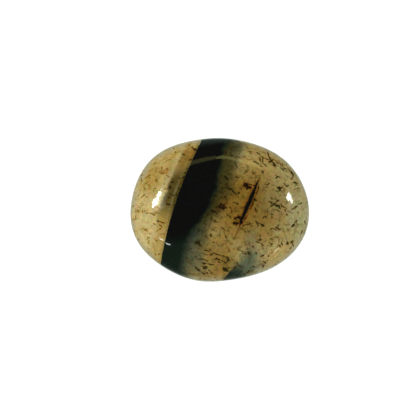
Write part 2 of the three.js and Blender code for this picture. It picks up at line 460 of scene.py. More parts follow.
# Thicker dark strokes.
BOLD_STROKES = (
    (0.7, 5.6, 1.4, 4.9), (5.6, 1.75, 6.1, 1.5), (-4.0, -5.2, -3.4, -5.7), (4.3, 4.2, 4.8, 3.9),
    (6.9, -2.4, 7.4, -2.8), (0.5, -9.8, 1.2, -10.3), (0.7, -9.6, 1.5, -10.1), (1.0, -7.8, 1.5, -8.3),
    (1.3, -8.0, 1.4, -8.5), (1.2, -8.6, 1.6, -8.3), (0.5, -9.6, 1.3, -10.1), (0.8, -10.0, 1.5, -10.3),
    (-3.0, -8.85, -2.2, -9.0), (-2.5, -9.4, -2.1, -9.75), (8.1, 9.1, 8.8, 8.1), (8.1, 8.0, 8.8, 8.1),
    (8.8, 8.0, 9.4, 7.05), (9.0, 7.7, 9.1, 7.2), (11.7, 6.6, 12.4, 5.5), (12.5, 4.6, 12.9, 4.3),
    (9.9, 3.9, 10.1, 3.2), (-8.4, 4.1, -8.2, 3.5), (-8.7, 2.05, -8.3, 2.1), (-6.9, 5.3, -6.6, 5.25),
    (-6.3, 5.4, -6.1, 5.25), (8.4, 0.5, 9.1, 1.1), (9.1, 0.75, 9.9, 0.6), (9.8, 0.8, 10.1, 0.1),
    (12.0, -2.85, 12.5, -2.3), (11.1, -5.8, 11.5, -5.5), (11.8, -5.5, 12.3, -5.2),
    (4.7, -6.9, 4.95, -7.6), (6.7, -5.05, 6.95, -4.85), (0.1, 3.4, 0.5, 3.8), (1.4, 3.6, 2.0, 3.3),
    (2.0, 3.4, 2.3, 2.8), (3.0, 2.9, 3.3, 2.7), (-1.0, 2.4, -0.6, 2.2), (-1.7, 1.0, -1.1, 1.6),
    (-10.6, -1.8, -10.1, -2.0),
)
# Black spurs on the band's left edge.
SPUR_STROKES = (
    (-4.6, 10.3, -3.6, 9.8), (-5.6, 6.4, -5.0, 6.2), (-6.2, 5.5, -5.5, 5.2), (-4.5, 8.3, -4.2, 8.9),
)
# The long needle: its black core, and the thin brown tips that it runs out in.
NEEDLE_CORE = ((6.4, 4.95, 3.3, -2.6), (6.0, 4.0, 3.5, -2.0))
NEEDLE_TIPS = ((6.85, 5.8, 6.0, 3.8), (3.6, -2.0, 2.4, -4.9))

# Reach sets how wide a filament is, in millimetres: its half width in its middle.
STROKE_REACH = 0.12
KNOT_REACH = 0.29
BOLD_REACH = 0.185
SPUR_REACH = 0.2
NEEDLE_REACH = 0.45
NEEDLE_TIP_REACH = 0.12
STROKE_BEND = 0.3
STROKE_SEED = 5
# Each stroke's reach is multiplied by a random number between these.
STROKE_SPREAD = (0.75, 1.2)
# The strokes fade out across the girdle, from this far above it to this far below it, and the needle's
# tips are fainter.
STROKE_FADE_HEIGHT = 0.5
NEEDLE_TIP_STRENGTH = 0.8

# Half width of a filament as a share of its reach: at its ends, and how fast it grows inwards.
FILAMENT_END = 0.25
FILAMENT_SWELLING = 3.0
# How a filament's stain and its core fade in, from below 0 outside it to 1 on its middle line.
STAIN_RAMP = (-1.2, 0.3)
STAIN_STRENGTH = 0.8
CORE_RAMP = (0.0, 0.6)

# Random moss: size of the cells that hold one sprig each, their seed, length and reach of the
# filaments, and strength. Sizes are in millimetres. The seed, times its step, shifts the cells.
MossLayer = namedtuple("MossLayer", "cell seed length reach strength")
MOSS_LAYERS = (
    MossLayer(2.1, 3.0, 1.4, 0.13, 0.7),
    MossLayer(1.7, 11.0, 1.2, 0.12, 0.95),
    MossLayer(1.5, 47.0, 1.1, 0.11, 0.95),
    MossLayer(1.3, 23.0, 0.95, 0.1, 0.9),
    MossLayer(1.1, 31.0, 0.8, 0.095, 0.85),
    MossLayer(1.2, 71.0, 0.85, 0.09, 0.85),
    MossLayer(1.0, 59.0, 0.7, 0.09, 0.75),
)
MOSS_SEED_STEP = (1.0, 1.7, 0.6)
# How far the filaments may bend, and how much a sprig fades by chance and by its depth.
MOSS_BEND = 0.8
MOSS_FADING = 1.15
MOSS_DEPTH_FADING = 2.3
# The moss is thinner to the right, as a ramp on x, and on the pale side.
RIGHT_THINNING = (3.5, 8.0, 1.0, 0.72)
PALE_SIDE_THINNING = 0.25
# Share of the glow in rusty moss, and of ochre in the moss of the pale side.
GLOW_SHARE = 0.4
OCHRE_SHARE = 0.9

# Highlights: where each starts and ends on the stone seen from above and its width, in millimetres,
# and the brightness and the colour of the light that makes it.
Glint = namedtuple("Glint", "name start end width brightness colour")
WHITE = (1.0, 1.0, 1.0)
PALE_GREEN = (0.9, 1.0, 0.75)
OLIVE_LIGHT = (1.0, 0.97, 0.3)
GLINTS = (
    Glint("left_window_top", (-9.95, 3.0), (-10.5, 2.0), 0.45, 20, WHITE),
    Glint("left_window_foot", (-10.3, 1.75), (-11.3, 0.8), 0.65, 20, WHITE),
    Glint("left_window_tip", (-9.5, 3.65), (-9.8, 3.3), 0.16, 16, WHITE),
    Glint("left_haze", (-9.35, 2.9), (-9.8, 0.0), 1.1, 0.8, PALE_GREEN),
    Glint("left_haze_heart", (-9.5, 2.7), (-9.95, 0.3), 0.7, 1.2, PALE_GREEN),
    Glint("left_glow", (-9.6, 3.2), (-10.4, 0.5), 0.7, 2.3, PALE_GREEN),
    Glint("right_window", (11.25, 2.65), (11.75, 1.85), 0.75, 20, WHITE),
    Glint("right_window_foot", (11.65, 1.95), (12.15, 1.25), 0.4, 14, WHITE),
    Glint("right_haze", (11.1, 3.0), (12.0, 1.0), 1.0, 1.3, PALE_GREEN),
    Glint("lower_left_strip", (-10.1, -4.8), (-9.3, -5.2), 0.18, 12, WHITE),
    Glint("lower_left_strip_end", (-9.1, -5.5), (-8.3, -5.8), 0.2, 14, WHITE),
    Glint("lower_right_strip", (9.15, -7.15), (9.85, -6.35), 0.17, 6, PALE_GREEN),
    Glint("far_strip", (-6.0, 7.4), (-0.4, 8.85), 0.55, 0.5, OLIVE_LIGHT),
    Glint("far_strip_end", (-0.4, 8.85), (7.0, 7.0), 0.55, 1.3, OLIVE_LIGHT),
)
LIGHT_DISTANCE = 0.6

# The surround that the polish mirrors: ramps on how far up a direction points, from -1 straight down to
# 1 straight up, and its tint.
MIRRORED_FLOOR = (-0.8, -1.0, 0.0, 0.6)
MIRRORED_HORIZON = (-0.3, -0.6, 0.03, 0.06)
MIRRORED_TINT = (0.82, 1.0, 0.88, 1.0)
DAYLIGHT_WHITE = (1.0, 1.0, 1.0, 1.0)

FLOOR_SIDES = 96
FLOOR_ROUGHNESS = 0.9

PHOTO_WIDTH = 420
SENSOR_WIDTH = 36.0
# Pixels to a millimetre at the stone's widest line, and the pixel at the stone's middle.
PIXELS_PER_MM = 5.953
STONE_MIDDLE_PIXEL = (219.8, 209.85)
# Share of the camera's height within which nothing is drawn.
CLIP_SHARE = 0.01


def bezier_point(handles, share):
    """The point a share of the way along a Bezier curve."""
    points = [Vector(handle) for handle in handles]
    while len(points) > 1:
        points = [a.lerp(b, share) for a, b in zip(points, points[1:])]
    return points[0]


def outline_radius(angle):
    """Distance from the middle to the outline in a direction, as a smooth curve through the radii."""
    count = len(OUTLINE_RADII)
    radius = 0.0
    for i, sample in enumerate(OUTLINE_RADII):
        offset = angle - i * math.tau / count
        waves = sum(math.cos(lobe * offset) for lobe in range(1, FINEST_LOBE + 1))
        radius += sample * (1 + 2 * waves) / count
    return radius


def section_point(polar):
    """Share of the way out to the outline, and height, at an angle from straight up."""
    quarter = math.pi / 2
    if polar <= quarter:
        crown = (
            (1, GIRDLE_HEIGHT),
            (1, GIRDLE_HEIGHT + (STONE_HEIGHT - GIRDLE_HEIGHT) * CROWN_SHOULDER),
            (CROWN_FLATNESS, STONE_HEIGHT),
            (0, STONE_HEIGHT),
        )
        return bezier_point(crown, 1 - polar / quarter)
    rise = (math.pi - polar) / quarter
    if rise < FLAT_SPOT_TURN:
        return Vector((FLAT_SPOT_SHARE * rise / FLAT_SPOT_TURN, 0))
    belly = (
        (FLAT_SPOT_SHARE, 0),
        (FLAT_SPOT_SHARE + (1 - FLAT_SPOT_SHARE) * BELLY_FLATNESS, 0),
        (1, GIRDLE_HEIGHT * (1 - BELLY_SHOULDER)),
        (1, GIRDLE_HEIGHT),
    )
    return bezier_point(belly, (rise - FLAT_SPOT_TURN) / (1 - FLAT_SPOT_TURN))


def crown_relief(x, y, share):
    """Height that the lean and the swells add at a place on the crown."""
    lean = (CROWN_LEAN_X * x + CROWN_LEAN_Y * y) / OUTLINE_RADII[0]
    swell = 0.0
    for wave in SWELLS:
        along = x * math.cos(wave.heading) + y * math.sin(wave.heading)
        swell += wave.height * math.cos(math.tau * along / wave.length + wave.phase)
    return (lean + swell) * (1 - share * share)


def stone_point(direction):
    """The stone's surface, in millimetres, in a direction from the middle of the round ball."""
    polar = math.acos(max(-1.0, min(1.0, direction.z)))
    angle = math.atan2(direction.y, direction.x)
    share, height = section_point(polar)
    radius = outline_radius(angle)
    x = share * radius * math.cos(angle)
    y = share * radius * math.sin(angle)
    on_crown = polar < math.pi / 2
    reach = share if on_crown else max(0.0, (share - FLAT_SPOT_SHARE) / (1 - FLAT_SPOT_SHARE))
    height += GIRDLE_WAVE * math.cos(2 * (angle - GIRDLE_WAVE_TURN)) * reach * reach
    if on_crown:
        height += crown_relief(x, y, share)
    return Vector((x, y, height))


def fit_to_box(form, low, high):
    """Moves and scales a mesh in the making so that its box runs from low to high."""
    for axis in range(3):
        places = [vertex.co[axis] for vertex in form.verts]
        start = min(places)
        scale = (high[axis] - low[axis]) / (max(places) - start)
        for vertex in form.verts:
            vertex.co[axis] = low[axis] + (vertex.co[axis] - start) * scale


def make_stone_mesh(settings):
    """The pebble's closed surface, shaped from a round ball."""
    form = bmesh.new()
    bmesh.ops.create_icosphere(form, subdivisions=settings.facet_steps, radius=1.0)
    for vertex in form.verts:
        vertex.co = stone_point(vertex.co.normalized())
    fit_to_box(form, *STONE_BOX)
    bmesh.ops.recalc_face_normals(form, faces=form.faces)
    for face in form.faces:
        face.smooth = True
    mesh = bpy.data.meshes.new("agate_pebble")
    form.to_mesh(mesh)
    form.free()
    return mesh


def add_node(tree, kind, inputs=None, **settings):
    """A new node in a tree. Each input is a plain value, or a Field that is linked to it."""
    node = tree.nodes.new(kind)
    for name, value in settings.items():
        setattr(node, name, value)
    for key, value in (inputs or {}).items():
        if isinstance(value, Field):
            tree.links.new(value.socket, node.inputs[key])
        else:
            node.inputs[key].default_value = value
    return node


class Field:
    """A value that varies over the stone. Arithmetic on it adds nodes to its node tree."""

    def __init__(self, tree, socket):
        self.tree = tree
        self.socket = socket

    def math(self, operation, *others):
        inputs = dict(enumerate((self, *others)))
        node = add_node(self.tree, "ShaderNodeMath", inputs, operation=operation)
        return Field(self.tree, node.outputs["Value"])

    def vector_math(self, operation, *others, result="Vector"):
        inputs = dict(enumerate((self, *others)))
        node = add_node(self.tree, "ShaderNodeVectorMath", inputs, operation=operation)
        return Field(self.tree, node.outputs[result])

    def __add__(self, other):
        return self.math("ADD", other)

    def __sub__(self, other):
        return self.math("SUBTRACT", other)

    def __mul__(self, other):
        return self.math("MULTIPLY", other)

    def __truediv__(self, other):
        return self.math("DIVIDE", other)

    def flipped(self):
        """One minus the value."""
        return self.math("MULTIPLY_ADD", -1.0, 1.0)

    def clamped(self):
        return self.math("MAXIMUM", 0.0).math("MINIMUM", 1.0)

    def centred(self):
        """A random vector, whose parts run from 0 to 1, less its middle."""
        return self.vector_math("SUBTRACT", (0.5, 0.5, 0.5))

    def moved(self, shift):
        """A place moved by a vector."""
        return self.vector_math("ADD", shift)

    def scaled(self, factor):
        """A vector made longer or shorter."""
        node = add_node(
            self.tree, "ShaderNodeVectorMath", {"Vector": self, "Scale": factor}, operation="SCALE"
        )
        return Field(self.tree, node.outputs["Vector"])

    def dot(self, other):
        return self.vector_math("DOT_PRODUCT", other, result="Value")

    def turned_about(self, axis, angle):
        """A vector turned about an axis."""
        inputs = {"Vector": self, "Axis": axis, "Angle": angle}
        node = add_node(self.tree, "ShaderNodeVectorRotate", inputs, rotation_type="AXIS_ANGLE")
        return Field(self.tree, node.outputs["Vector"])

    def parts(self):
        """The three numbers of a vector."""
        node = add_node(self.tree, "ShaderNodeSeparateXYZ", {"Vector": self})
        return [Field(self.tree, output) for output in node.outputs]

    def smooth(self, start, end, low=0.0, high=1.0):
        """Runs softly from low where the value is start to high where it is end."""
        inputs = {"Value": self, "From Min": start, "From Max": end, "To Min": low, "To Max": high}
        node = add_node(
            self.tree, "ShaderNodeMapRange", inputs, interpolation_type="SMOOTHSTEP", clamp=False
        )
        return Field(self.tree, node.outputs["Result"])


def vector_of(tree, x, y, z):
    """A vector from three fields or numbers."""
    node = add_node(tree, "ShaderNodeCombineXYZ", {"X": x, "Y": y, "Z": z})
    return Field(tree, node.outputs["Vector"])


def mix(tree, share, first, second, blend="MIX"):
    """A colour that is first where share is 0, and second, or the blend of both, where share is 1."""
    node = tree.nodes.new("ShaderNodeMix")
    node.data_type = "RGBA"
    node.blend_type = blend
    sockets = {socket.identifier: socket for socket in node.inputs}
    values = {"Factor_Float": share, "A_Color": first, "B_Color": second}
    for name, value in values.items():
        if isinstance(value, Field):
            tree.links.new(value.socket, sockets[name])
        else:
            sockets[name].default_value = value
    results = {socket.identifier: socket for socket in node.outputs}
    return Field(tree, results["Result_Color"])


def noise(place, grain, output="Fac"):
    """A soft random pattern, which runs from 0 to 1."""
    moved = place.moved([grain.seed * step for step in SEED_STEP])
    inputs = {"Vector": moved, "Scale": 1 / grain.size, "Detail": grain.detail}
    node = add_node(place.tree, "ShaderNodeTexNoise", inputs)
    return Field(place.tree, node.outputs[output])


def as_node_group(**inputs):
    """Turns a function of fields into one that adds a node group, which is made at its first use."""

    def wrap(build):
        name = build.__name__.replace("_", " ").capitalize()

        def use(tree, **values):
            group = bpy.data.node_groups.get(name) or make_node_group(name, inputs, build)
            node = add_node(tree, "ShaderNodeGroup", values, node_tree=group)
            return Field(tree, node.outputs["Result"])

        return use

    return wrap


def make_node_group(name, inputs, build):
    """A node group whose one output is what build makes of its inputs."""
    group = bpy.data.node_groups.new(name, "ShaderNodeTree")
    for key, kind in inputs.items():
        group.interface.new_socket(key, in_out="INPUT", socket_type="NodeSocket" + kind)
    group.interface.new_socket("Result", in_out="OUTPUT", socket_type="NodeSocketFloat")
    start = group.nodes.new("NodeGroupInput")
    end = group.nodes.new("NodeGroupOutput")
    result = build(*(Field(group, start.outputs[key]) for key in inputs))
    group.links.new(result.socket, end.inputs["Result"])
    return group


@as_node_group(
    offset="Vector", heading="Vector", sideways="Vector", length="Float", reach="Float", bend="Float"
)
def filament(offset, heading, sideways, length, reach, bend):
    """One moss filament: a line from where offset is zero, widest in its middle, that bends to one side.

    The value is 1 on its middle line, 0 on its edge and below 0 outside.
    """
    along = offset.dot(heading)
    across = offset.dot(sideways)
    share = (along / length).clamped()
    arch = share * share.flipped()
    off_end = along - share * length
    off_side = across - arch * bend * length
    distance = (off_end * off_end + off_side * off_side).math("SQRT")
    half_width = reach * arch.math("MULTIPLY_ADD", FILAMENT_SWELLING, FILAMENT_END)
    return (distance / half_width).flipped()


@as_node_group(offset="Vector", along="Vector", across="Vector")
def cloud(offset, along, across):
    """A soft oval patch: 1 in its heart and 0 outside. Along and across are one over its half sizes."""
    length_share = offset.dot(along)
    width_share = offset.dot(across)
    share = (length_share * length_share + width_share * width_share).math("SQRT")
    return share.smooth(*CLOUD_FADING)


@as_node_group(place="Vector", normal="Vector", cell="Float", seed="Float", length="Float", reach="Float")
def moss_layer(place, normal, cell, seed, length, reach):
    """How far inside a sprig of moss a place is. Each random cell holds one, just under the surface."""
    tree = place.tree
    shift = vector_of(tree, *(seed * step for step in MOSS_SEED_STEP))
    cells = place.scaled(cell.math("POWER", -1.0)).moved(shift)
    voronoi = add_node(tree, "ShaderNodeTexVoronoi", {"Vector": cells, "Scale": 1.0})
    draw = Field(tree, voronoi.outputs["Color"])
    offset = cells.vector_math("SUBTRACT", Field(tree, voronoi.outputs["Position"])).scaled(cell)

    heading = normal.vector_math("CROSS_PRODUCT", draw.centred()).vector_math("NORMALIZE")
    first, second, third = draw.parts()
    # Each arm's turn in radians, its length and how much of it lies behind the sprig's middle.
    arms = None
    for turn, share_of_length, behind in (
        (first * 0.6, first * 0.8 + 0.6, 0.5),
        (second * 1.6 + 0.5, third * 0.5 + 0.2, 0.0),
        (third * -1.8 - 0.5, second * 0.6 + 0.05, 0.2),
    ):
        arm_heading = heading.turned_about(normal, turn)
        arm_length = share_of_length * length
        arm = filament(
            tree,
            offset=offset.moved(arm_heading.scaled(arm_length * behind)),
            heading=arm_heading,
            sideways=normal.vector_math("CROSS_PRODUCT", arm_heading),
            length=arm_length,
            reach=reach,
            bend=(second - 0.5) * MOSS_BEND,
        )
        arms = arm if arms is None else arms.math("MAXIMUM", arm)
    luck = Field(tree, add_node(tree, "ShaderNodeTexWhiteNoise", {"Vector": draw}).outputs["Value"])
    depth = offset.dot(normal).math("ABSOLUTE") / cell
    fading = luck * luck * MOSS_FADING + depth * MOSS_DEPTH_FADING
    return arms - fading


def layer_distance(place):
    """Distance in millimetres to the right of the black band's left edge."""
    x, y, z = place.parts()
    edge = y * EDGE_LEAN + y * y * EDGE_BOW + EDGE_MIDDLE
    below = z.math("SUBTRACT", GIRDLE_HEIGHT).math("MINIMUM", 0.0)
    return x - edge + below * LAYER_SLANT


def patch_side(place):
    """Distance in millimetres to the right of the dark patch's sharp edge."""
    to_right = (PATCH_HEADING[1], -PATCH_HEADING[0], 0.0)
    return place.vector_math("SUBTRACT", (*PATCH_START, 0.0)).dot(to_right)


def band_width(y):
    """Width of the black band in millimetres."""
    width = y.smooth(BAND_LOW_Y, BAND_HIGH_Y, BAND_LOW_WIDTH, BAND_HIGH_WIDTH)
    narrowing = (y - BAND_NARROWING_Y).math("MAXIMUM", 0.0) * BAND_NARROWING
    return width - narrowing


def with_clouds(colour, clouds, place, settings, share=1.0):
    """A colour with soft patches of other colours laid over it."""
    tree = place.tree
    for patch in clouds:
        turn = math.radians(patch.turn)
        along = Vector((math.cos(turn), math.sin(turn), 0.0))
        across = Vector((-math.sin(turn), math.cos(turn), 0.0))
        mask = cloud(
            tree,
            offset=place.vector_math("SUBTRACT", (patch.x, patch.y, 0.0)),
            along=along / patch.half_length,
            across=across / patch.half_width,
        )
        strength = mask * patch.strength * share
        colour = mix(tree, strength, colour, opaque(getattr(settings, patch.colour)))
    return colour


def opaque(colour):
    """A colour with nothing showing through."""
    return (*colour, 1.0)


def stroke_depth(place, strokes, reach, bend=STROKE_BEND):
    """How far inside any of a list of filaments a place is, each given by its two ends."""
    tree = place.tree
    rng = random.Random(STROKE_SEED)
    deepest = None
    for x, y, end_x, end_y in strokes:
        heading = Vector((end_x - x, end_y - y, 0.0))
        length = heading.length
        heading.normalize()
        one = filament(
            tree,
            offset=place.vector_math("SUBTRACT", (x, y, 0.0)),
            heading=heading,
            sideways=Vector((-heading.y, heading.x, 0.0)),
            length=length,
            reach=reach * rng.uniform(*STROKE_SPREAD),
            bend=rng.uniform(-bend, bend),
        )
        deepest = one if deepest is None else deepest.math("MAXIMUM", one)
    return deepest


def agate_colour(place, normal, settings):
    """Colour of the polished face: layers, band, clouds, painted rim glow and moss."""
    tree = place.tree
    slow_warp = noise(place, SLOW_WARP, output="Color").centred()
    quick_warp = noise(place, QUICK_WARP, output="Color").centred()
    drifted = place.moved(slow_warp.scaled(SLOW_DRIFT)).moved(quick_warp.scaled(QUICK_DRIFT))
    wavy = place.moved(quick_warp.scaled(WAVER))
    _, y, z = place.parts()

    distance = layer_distance(wavy)
    from_soft_edge = layer_distance(drifted) - band_width(y)
    patch_face = (patch_side(wavy) / y.smooth(*PATCH_SOFTNESS)).smooth(*PATCH_EDGE)
    misty = noise(place, MIST).smooth(*MIST_LEVELS)
    black = distance.smooth(*BAND_START) * from_soft_edge.smooth(*BLACK_END)
    # Where the layers under the rim are dark, the painted rim glow is teal, for light coming through them.
    dark_under_rim_glow = black.math("MAXIMUM", patch_face * from_soft_edge.smooth(*PATCH_RIM_END))
    dark_under_rim_glow = dark_under_rim_glow.math("MAXIMUM", distance.smooth(*BODY_START) * from_soft_edge.smooth(*BAND_RIM_END))

    pale = pale_side_colour(distance, y, drifted, settings)
    body = body_colour(from_soft_edge, y, drifted, misty, patch_face, settings)
    colour = mix(tree, distance.smooth(*BODY_START), pale, body)
    colour = mix(tree, black, colour, band_colour(drifted, settings))
    colour = with_mottle(colour, place)
    colour = with_painted_rim_glow(colour, z - GIRDLE_HEIGHT, misty, dark_under_rim_glow, settings)

    pale_face = distance.smooth(*PALE_SIDE_END)
    outside_band = pale_face.math("MAXIMUM", from_soft_edge.smooth(*MOSS_START))
    ragged = wavy.moved(noise(wavy, FRAY, output="Color").centred().scaled(FRAYING))
    colour = with_random_moss(colour, outside_band, pale_face, wavy, ragged, normal, settings)
    return with_strokes(colour, outside_band, wavy, ragged, settings)


def body_colour(from_soft_edge, y, drifted, misty, patch_face, settings):
    """Colour of the broad layer to the right of the black band, and of the shade beside the band."""
    tree = y.tree
    body = mix(tree, misty * MIST_STRENGTH, opaque(settings.body_tan), opaque(settings.grey_green))
    body = with_clouds(body, BODY_CLOUDS, drifted, settings)
    body = with_clouds(body, PATCH_CLOUDS, drifted, settings, patch_face)

    lower_half = y.smooth(*LOWER_HALF)
    shade = mix(tree, lower_half, opaque(settings.olive), opaque(settings.slate))
    shade_reach = lower_half * LOWER_SHADE_EXTRA + SHADE_REACH
    shade_share = from_soft_edge.smooth(shade_reach, SHADE_HEART) * SHADE_STRENGTH
    teal_share = lower_half * from_soft_edge.smooth(*TEAL_END) * TEAL_STRENGTH
    body = mix(tree, shade_share, body, shade)
    body = mix(tree, teal_share, body, opaque(settings.teal))
    return mix(tree, from_soft_edge.smooth(*GREEN_END), body, opaque(settings.bottle_green))


def band_colour(drifted, settings):
    """Colour of the black band, which turns green towards its thin lower end."""
    _, y, _ = drifted.parts()
    black, green = opaque(settings.band_black), opaque(settings.bottle_green)
    return mix(y.tree, y.smooth(*GREEN_LOWER_END), black, green)


def with_mottle(colour, place):
    """A colour made a little darker, lighter or warmer from place to place."""
    tree = place.tree
    mottle = mix(tree, noise(place, MOTTLE).smooth(*MOTTLE_LEVELS), MOTTLE_DARK, MOTTLE_LIGHT)
    colour = mix(tree, 1.0, colour, mottle, "MULTIPLY")
    lowest = 1 - HUE_SPREAD / 2
    hues = noise(place, HUES, output="Color").scaled(HUE_SPREAD).moved((lowest, lowest, lowest))
    return mix(tree, 1.0, colour, hues, "MULTIPLY")


def with_painted_rim_glow(colour, height, misty, dark_under_rim_glow, settings):
    """A colour with painted light laid over its thin rim: a lighter belt round the girdle for the light
    coming through the stone's thin edge.
    """
    tree = height.tree
    uneven = height + (misty - 0.5) * RIM_GLOW_UNEVENNESS
    rim_glow_share = uneven.smooth(*RIM_GLOW_TOP) * uneven.smooth(*RIM_GLOW_FOOT) * RIM_GLOW_STRENGTH
    rim = mix(tree, dark_under_rim_glow, opaque(settings.mist), opaque(settings.teal))
    return mix(tree, rim_glow_share, colour, rim)


def with_thin_lines(colour, lines, distance, y, settings):
    """A colour with thin grey lines laid over it, which run along the layers."""
    for line in lines:
        across = (distance - line.distance).math("ABSOLUTE").smooth(*line.border)
        share = across * y.smooth(*line.foot) * y.smooth(*line.top) * line.strength
        colour = mix(y.tree, share, colour, opaque(settings.grey_green))
    return colour


def pale_side_colour(distance, y, drifted, settings):
    """Colour of the pale layers to the left of the black band."""
    tree = distance.tree
    umber = opaque(settings.umber)
    gold_share = distance.smooth(*GOLD_START) * GOLD_STRENGTH
    pale = mix(tree, gold_share, opaque(settings.milky_tan), opaque(settings.gold))
    stripes = (distance * STRIPE_TURN).math("SINE").math("MULTIPLY_ADD", 0.5, 0.5)
    pale = mix(tree, stripes * STRIPE_STRENGTH, pale, opaque(settings.grey_green))
    pale = with_clouds(pale, PALE_SIDE_CLOUDS, drifted, settings)
    pale = with_thin_lines(pale, THIN_LINES_UNDER_WEDGE, distance, y, settings)
    uneven = distance + (noise(drifted, WEDGE_BORDER) - 0.5) * WEDGE_UNEVENNESS
    wedge = uneven.smooth(*WEDGE_START) * y.smooth(*WEDGE_TOP) * y.smooth(*WEDGE_FOOT)
    pale = mix(tree, wedge * WEDGE_STRENGTH, pale, umber)
    pale = with_thin_lines(pale, THIN_LINES_OVER_WEDGE, distance, y, settings)
    edge_shade = distance.smooth(*EDGE_SHADE_START) * y.smooth(*EDGE_SHADE_STRENGTH)
    return mix(tree, edge_shade, pale, umber)


def with_filaments(tree, colour, inside, core, stain, strength):
    """A colour with filaments laid over it: a core of one colour in a soft darker stain."""
    stain_share = inside.smooth(*STAIN_RAMP) * STAIN_STRENGTH * strength
    stained = mix(tree, stain_share, colour, stain, "MULTIPLY")
    return mix(tree, inside.smooth(*CORE_RAMP) * strength, stained, core)


def with_random_moss(colour, outside_band, pale_face, place, ragged, normal, settings):
    """A colour with the random moss laid over it, which is dark or rusty, and golden on the pale side."""
    tree = place.tree
    x, _, _ = place.parts()
    crowded = noise(place, CROWDS).smooth(*CROWD_LEVELS) * x.smooth(*RIGHT_THINNING)
    crowded = crowded * pale_face.math("MULTIPLY_ADD", -PALE_SIDE_THINNING, 1.0)
    glowing_rust = mix(tree, GLOW_SHARE, opaque(settings.rust_dark), opaque(settings.rust_glow))
    rusty = noise(place, RUST).smooth(*RUST_LEVELS)
    core = mix(tree, rusty, opaque(settings.moss_dark), glowing_rust)
    core = mix(tree, pale_face * OCHRE_SHARE, core, opaque(settings.ochre))
    stain = mix(tree, pale_face, opaque(settings.moss_stain), opaque(settings.ochre_stain))
    for layer in MOSS_LAYERS:
        inside = moss_layer(
            tree,
            place=ragged,
            normal=normal,
            cell=layer.cell,
            seed=layer.seed,
            length=layer.length,
            reach=layer.reach,
        )
        strength = outside_band * crowded * layer.strength
        colour = with_filaments(tree, colour, inside, core, stain, strength)
    return colour


def with_strokes(colour, outside_band, place, ragged, settings):
    """A colour with the filaments that stand out and the long needle laid over it."""
    tree = place.tree
    black = opaque(settings.band_black)
    dark, moss_stain = opaque(settings.moss_dark), opaque(settings.moss_stain)
    rust, rust_stain = opaque(settings.rust_dark), opaque(settings.rust_stain)
    ochre, ochre_stain = opaque(settings.ochre), opaque(settings.ochre_stain)
    _, _, z = place.parts()
    on_top = z.smooth(GIRDLE_HEIGHT - STROKE_FADE_HEIGHT, GIRDLE_HEIGHT + STROKE_FADE_HEIGHT)
    worn = noise(place, WEAR).smooth(*WEAR_LEVELS)
    for strokes, reach, core, stain, strength in (
        (OCHRE_STROKES, STROKE_REACH, ochre, ochre_stain, worn),
        (DARK_STROKES, STROKE_REACH, dark, moss_stain, worn),
        (BROWN_STROKES, STROKE_REACH, rust, rust_stain, worn),
        (BOLD_STROKES, BOLD_REACH, dark, moss_stain, outside_band),
        (KNOT_STROKES, KNOT_REACH, rust, rust_stain, outside_band),
        (SPUR_STROKES, SPUR_REACH, black, rust_stain, outside_band),
    ):
        inside = stroke_depth(ragged, strokes, reach)
        colour = with_filaments(tree, colour, inside, core, stain, on_top * outside_band * strength)
    tips = stroke_depth(place, NEEDLE_TIPS, NEEDLE_TIP_REACH, bend=0.0)
    tip_strength = on_top * NEEDLE_TIP_STRENGTH
    colour = with_filaments(tree, colour, tips, opaque(settings.rust_glow), rust_stain, tip_strength)
    needle = stroke_depth(place, NEEDLE_CORE, NEEDLE_REACH, bend=0.0)
    return with_filaments(tree, colour, needle, black, rust_stain, on_top)


def make_polished_agate(settings):
    """The stone's material: banded moss agate with a glassy tumbled polish."""
    material = bpy.data.materials.new("banded_moss_agate")
    material.use_nodes = True
    tree = material.node_tree
    shader = tree.nodes["Principled BSDF"]
    texture_space = add_node(tree, "ShaderNodeTexCoord")
    place = Field(tree, texture_space.outputs["Object"]).scaled(1 / MM)
    normal = Field(tree, texture_space.outputs["Normal"])
    colour = agate_colour(place, normal, settings)
    tree.links.new(colour.socket, shader.inputs["Base Color"])
    shader.inputs["Roughness"].default_value = settings.polish
    shader.inputs["IOR"].default_value = REFRACTIVE_INDEX
    relief = {"Height": noise(place, RIPPLE), "Strength": RIPPLE_STRENGTH, "Distance": RIPPLE_HEIGHT * MM}
    bump = add_node(tree, "ShaderNodeBump", relief)
    tree.links.new(bump.outputs["Normal"], shader.inputs["Normal"])
    return material


def make_stone(settings):
    """The pebble, in place of its plain solid."""
    stone = bpy.data.objects.new("agate_pebble", make_stone_mesh(settings))
    bpy.context.scene.collection.objects.link(stone)
    stone.data.materials.append(make_polished_agate(settings))
    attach(stone, "root")
    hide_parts("agate_stone")
    return stone


def make_floor(settings):
    """A plain pale round floor that gives off a little light."""
    disc = bmesh.new()
    bmesh.ops.create_circle(disc, cap_ends=True, segments=FLOOR_SIDES, radius=settings.floor_radius)
    mesh = bpy.data.meshes.new("floor")
    disc.to_mesh(mesh)
    disc.free()
    floor = bpy.data.objects.new("floor", mesh)
    bpy.context.scene.collection.objects.link(floor)
    material = bpy.data.materials.new("pale_floor")
    material.use_nodes = True
    shader = material.node_tree.nodes["Principled BSDF"]
    shader.inputs["Base Color"].default_value = opaque(settings.floor_colour)
    shader.inputs["Roughness"].default_value = FLOOR_ROUGHNESS
    shader.inputs["Emission Color"].default_value = opaque(settings.floor_colour)
    shader.inputs["Emission Strength"].default_value = settings.floor_glow
    mesh.materials.append(material)
    floor.visible_glossy = False
    return floor


